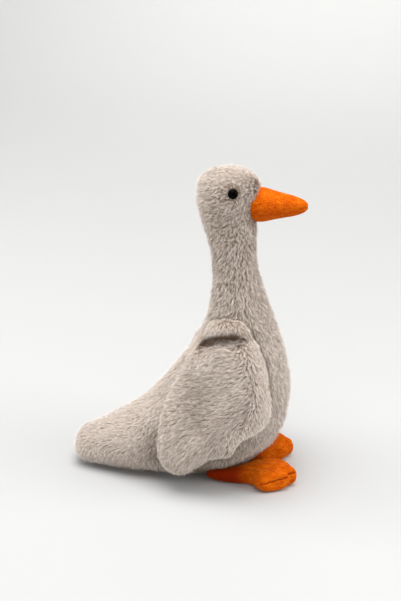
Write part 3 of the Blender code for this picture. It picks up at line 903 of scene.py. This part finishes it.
def body_length(points):
    """6.6 mm, less on the head, round the eyes and beside other pieces, and full on the brow."""
    z = points[:, 2]
    brow = smooth_step(z - BEAK_MIDDLE[2], 6 * MM, 14 * MM)
    length = (6.6 - 1.4 * smooth_step(z, 180 * MM, 270 * MM)) * MM
    length *= 1 - 0.7 * near(points, wing_trees, BESIDE_WING)
    length *= 1 - 0.5 * near(points, foot_trees, BESIDE_FOOT)
    length *= 1 - 0.65 * near(points, [beak_tree], 9 * MM) * (1 - brow)
    length *= 1 + 0.3 * near(points, [beak_tree], 16 * MM) * brow
    for eye in EYES:
        length *= 0.5 + 0.5 * smooth_step(np.linalg.norm(points - eye, axis=1), *EYE_TRIM)
    return length


# %% Shade and ruffle of the body's fur
THROAT_HEIGHT, THROAT_LENGTH = 205 * MM, 45 * MM


def body_shade(points, normals):
    """Painted shade beside the wings and feet, under the hem and the belly, and in patches on the throat.
    """
    z = points[:, 2]
    by_wing = near(points, wing_trees, BESIDE_WING)
    by_wing *= 1 - 0.8 * smooth_step(z, WING_TOP - 14 * MM, WING_TOP - 4 * MM)
    by_foot = near(points, foot_trees, BESIDE_FOOT)
    by_hem = near(points, wing_trees, 34 * MM) * (1 - smooth_step(z, 35 * MM, 75 * MM))
    below = smooth_step(-normals[:, 2], 0.05, 0.7) * (1 - body_zones(points)[0])
    throat = bump(z, THROAT_HEIGHT, THROAT_LENGTH) * (1 + 0.7 * wavy(points, 20 * MM, 41))
    return 0.6 * by_wing + 0.5 * by_foot + 0.5 * by_hem + 0.2 * below + 0.12 * throat


def body_ruffle(points, normals):
    """Ruffled in patches on the neck and head, smooth on the tail and where the fur faces up."""
    z = points[:, 2]
    ruffle = smooth_step(wavy(points, 30 * MM, 21), -0.1, 0.5) * 0.6 * smooth_step(z, 100 * MM, 200 * MM)
    ruffle += 0.3 * smooth_step(z, 150 * MM, 200 * MM) - 0.5 * body_zones(points)[1]
    ruffle -= 0.6 * smooth_step(normals[:, 2], 0.15, 0.7)
    return ruffle.clip(-0.6, 1)


def body_look(points, normals):
    """Lay, length, both leans, shade and ruffle of the body's fur."""
    low, high = [np.full(len(points), lean) for lean in BODY_LEAN]
    shade, ruffle = body_shade(points, normals), body_ruffle(points, normals)
    return body_lay(points), body_length(points), low, high, shade, ruffle


# %% [markdown]
# ## Fur of the wings
# On a wing the pile runs back and turns down towards the lower tip. Round the front and over the roll it
# wraps the edge, where it is smooth and painted pale as if lit, and the whole front is painted a little
# paler. Between the two ways the fur parts in ragged patches. In the fold under the roll it is short and
# painted dark as shade, most of all just above the stitches, and the sag behind the ridge is painted
# darker as shade too.

# %% The wing's edge
WING_LEAN = radians(52), radians(80)


def edge_finder(wing, cover):
    """A tree of the points round the wing's edge, without the pleat's lips, seen from the side."""
    x, y, z = cover.points.T
    in_pleat = np.abs(wing.above_pleat(cover.points)) < 10 * MM
    in_pleat &= (x > wing.rear + 3 * MM) & (x < wing.front - 3 * MM)
    edge = cover.points[(np.abs(cover.normals[:, 1]) < 0.3) & ~in_pleat]
    finder = KDTree(len(edge))
    for k, point in enumerate(edge):
        finder.insert((point[0], 0, point[2]), k)
    finder.balance()
    print("edge points of a wing:", len(edge))
    return finder


def fold_at(wing, points, normals):
    """1 in the fold under the roll. It fades slowly upwards and quickly downwards."""
    x = points[:, 0]
    core = (1.5 + 3 * smooth_step(x, wing.rear + 8 * MM, wing.front - 8 * MM)) * MM
    lie = wing.above_pleat(points) - core
    fold = bump(lie, 0, np.where(lie > 0, 9 * MM, 4 * MM)) * wing.faces_out(normals, -0.3, 0.2)
    fold *= smooth_step(x, wing.rear - 8 * MM, wing.rear)
    return fold * (1 - smooth_step(x, wing.front - 12 * MM, wing.front + 2 * MM))


# %% Look of the wings' fur
def wing_look(wing, finder, points, normals):
    """Lay, length, both leans, shade and ruffle of a wing's fur."""
    inside = np.array([finder.find((point[0], 0, point[2]))[2] for point in points])
    outward = unit((points - (wing.low + wing.high) / 2) * np.array([1, 0, 1]))
    ahead = smooth_step(outward[:, 0] + 0.5 * outward[:, 2], -0.25, 0.1)
    above = wing.above_pleat(points)
    fold = fold_at(wing, points, normals)
    ragged = inside + 7 * MM * wavy(points, 16 * MM, 31)
    rim = (1 - smooth_step(ragged, 2 * MM, 22 * MM)) * ahead * (1 - fold)
    parting = 4 * rim * (1 - rim) * (1 - smooth_step(above, 0, 8 * MM))
    lower = 1 - smooth_step(points[:, 2], 50 * MM, 110 * MM)
    at_hem = (1 - smooth_step(inside, 3 * MM, 9 * MM)) * smooth_step(-outward[:, 2], 0.2, 0.6)

    lay = unit(np.stack([-(1.0 - 0.35 * lower), 0 * lower, -(0.18 + 0.55 * lower)], axis=1))
    wrapped = unit(outward * 0.5 + np.array([0, 0, -0.9]))
    lay = lay * (1 - rim[:, None]) + wrapped * rim[:, None]
    length = (7.0 + 0.6 * lower) * (1 - 0.6 * fold) * (1 - 0.25 * rim) * (1 - 0.4 * at_hem) * MM
    low = WING_LEAN[0] + radians(6) * rim - radians(9) * parting
    high = WING_LEAN[1] - radians(6) * parting
    # Painted shade in the fold and the sag, and painted light on the rim and the wing's front.
    shade = 1.4 * fold - 0.25 * rim - 0.15 * ahead + 0.22 * sag_at(wing.share(points))
    ruffle = parting * 0.8 - 0.4 * rim - 0.3 * smooth_step(above, -4 * MM, 6 * MM)
    return lay, length, low, high, shade, ruffle


# %% [markdown]
# ## Planting
# No fur grows inside the seats of the wings, the beak and the feet, where the goose rests, or under the
# rims of the eyes. The body's pile is split into four pieces, for head and neck, tail, breast and
# back, so that no mesh gets too heavy. The pieces share one cover, so the splits don't show.

# %% Where no fur, or little, grows
SPARSE = 0.4  # share of the pile that is grown where a wing or the table hides it
EYE_CLEARING = 4.5 * MM

for tree, cover in zip(wing_trees, wing_covers.values()):
    body_cover.hide_under(tree, 5 * MM)
    body_cover.hide_under(tree, 40 * MM, SPARSE)
    cover.hide_under(body_tree, 3 * MM)
    cover.hide_under(body_tree, 60 * MM, SPARSE)
for tree in (beak_tree, *foot_trees):
    body_cover.hide_under(tree, 3 * MM)
height, facing_up = body_cover.middle[:, 2], body_cover.facing[:, 2]
body_cover.density[(facing_up < -0.6) & (height < 20 * MM)] *= SPARSE
body_cover.density[(facing_up < -0.8) & (height < 1.5 * MM)] = 0
for eye in EYES:
    body_cover.density[np.linalg.norm(body_cover.middle - eye, axis=1) < EYE_CLEARING] = 0
print("body fur in square mm:", round(body_cover.planted_area(1) / MM**2))

# %% Planting the body
NECK_START, TAIL_START, BREAST_START = 190 * MM, 35 * MM, 45 * MM
x = body_cover.middle[:, 0]
upper = height > NECK_START
tail_end = ~upper & (x < -TAIL_START)
breast = ~upper & ~tail_end & (x > BREAST_START)
flank = ~upper & ~tail_end & ~breast
zones = {"pile_head_neck": upper, "pile_tail": tail_end, "pile_breast": breast, "pile_back": flank}
for seed, (name, chosen) in enumerate(zones.items(), 1):
    grow_pile(name, body_cover, chosen, body_look, seed)

# %% Planting the wings
for seed, (side, cover) in enumerate(wing_covers.items(), 11):
    look = partial(wing_look, wings[side], edge_finder(wings[side], cover))
    grow_pile(f"pile_wing_{side}", cover, 1, look, seed)


# %% [markdown]
# ## Studio
# The goose sits on matt paper that runs flat under it and curves up into a wall, which hides the line
# between table and wall. Most of the light comes from a large soft box above, so the shadow stays close
# to the goose. Smaller boxes at both sides and in front fill the shade under the wings, and one behind
# lights the wall alone.

# %% Paper
PAPER_RADIUS, PAPER_FLAT = 1.0, (-1.6, 1.5)  # in metres, from in front of the goose to behind it
PAPER_HEIGHT, PAPER_HALF_WIDTH = 3.0, 3.0
CURVE_STEPS = 12

paper, _ = new_material("white_paper", Base_Color=linear("#BFBFBE"), Roughness=0.9)
angles = [k / CURVE_STEPS * pi / 2 for k in range(1, CURVE_STEPS + 1)]
profile = [(place, 0.0) for place in PAPER_FLAT]
profile += [(PAPER_FLAT[1] + PAPER_RADIUS * sin(a), PAPER_RADIUS * (1 - cos(a))) for a in angles]
profile.append((PAPER_FLAT[1] + PAPER_RADIUS, PAPER_HEIGHT))
sheet_points = [(side * PAPER_HALF_WIDTH, y, z) for y, z in profile for side in (-1, 1)]
sheet_faces = [(2 * k, 2 * k + 1, 2 * k + 3, 2 * k + 2) for k in range(len(profile) - 1)]
sheet_mesh = bpy.data.meshes.new("studio_paper")
sheet_mesh.from_pydata(sheet_points, [], sheet_faces)
sheet_mesh.shade_smooth()
sheet_mesh.materials.append(paper)
studio = bpy.data.objects.new("studio_paper", sheet_mesh)
bpy.context.scene.collection.objects.link(studio)
print("paper strips:", len(sheet_faces))


# %% Lights
def soft_light(name, place, size, power, aim=(0, 0, 0.15)):
    """A square soft box that looks at the goose, or at another place."""
    data = bpy.data.lights.new(name, "AREA")
    data.size = size
    data.energy = power
    light = bpy.data.objects.new(name, data)
    light.location = place
    light.rotation_euler = (Vector(aim) - Vector(place)).to_track_quat("-Z", "Y").to_euler()
    bpy.context.scene.collection.objects.link(light)
    print(name, "of", power, "W")


soft_light("top_light", (-0.1, -0.2, 2.4), 2.0, 72)
soft_light("right_light", (1.4, -0.1, 0.9), 1.0, 14)
soft_light("left_light", (-1.4, 0.1, 0.6), 1.0, 11)
soft_light("front_light", (-0.3, -1.6, 0.5), 1.2, 5)
soft_light("wall_light", (0, 2.0, 1.4), 1.2, 16, (0, 2.6, 0.6))

# The rest of the room is white and dim.
world = bpy.data.worlds.new("studio_air")
world.use_nodes = True
world.node_tree.nodes["Background"].inputs["Color"].default_value = linear("#FFFFFF")
world.node_tree.nodes["Background"].inputs["Strength"].default_value = 0.28
bpy.context.scene.world = world
bpy.context.scene.view_settings.view_transform = "Standard"


# %% [markdown]
# ## Size
# The dressed goose may stand only a little proud of the solids, as fabric does: its fur, and wings that
# hang a few millimetres clear.

# %% The end
bpy.context.view_layer.update()
